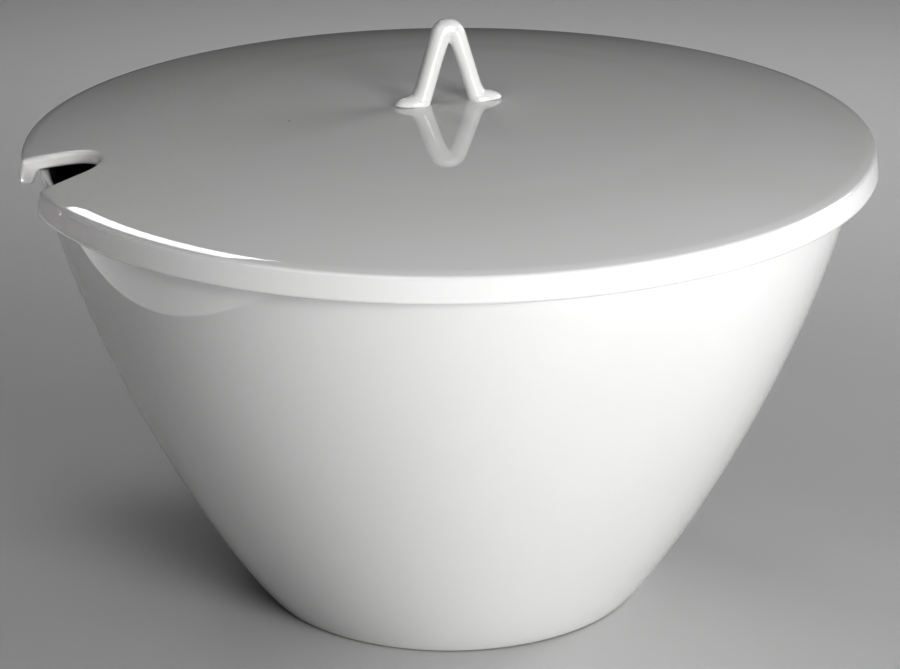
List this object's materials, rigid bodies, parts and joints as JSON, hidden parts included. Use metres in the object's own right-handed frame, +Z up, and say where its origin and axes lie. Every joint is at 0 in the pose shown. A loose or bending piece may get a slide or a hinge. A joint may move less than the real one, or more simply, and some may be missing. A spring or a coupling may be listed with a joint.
{
  "type": "soup tureen",
  "caption": "Deep round glazed porcelain bowl on a small foot ring, with a lift-off domed lid that has a turned-down skirt, a ladle notch in its edge and a bent-rod handle.",
  "frame": {"origin": "on the table, under the middle of the foot ring", "axes": "+Z up along the axis of the bowl; the ladle notch opens towards -X and the handle stands along X"},
  "size_m": [0.2588, 0.26, 0.1806],
  "materials": {
    "glazed_porcelain": "clear glossy glaze over white hard porcelain, bare on the foot ring"
  },
  "bodies": {
    "bowl": {"bowl": "glazed_porcelain"},
    "lid": {"lid": "glazed_porcelain", "handle": "glazed_porcelain"}
  },
  "joints": [
    {"name": "lid_lift", "type": "slide", "parent": "bowl", "child": "lid", "axis": [0, 0, 1], "range_m": [0, 0.15]}
  ]
}
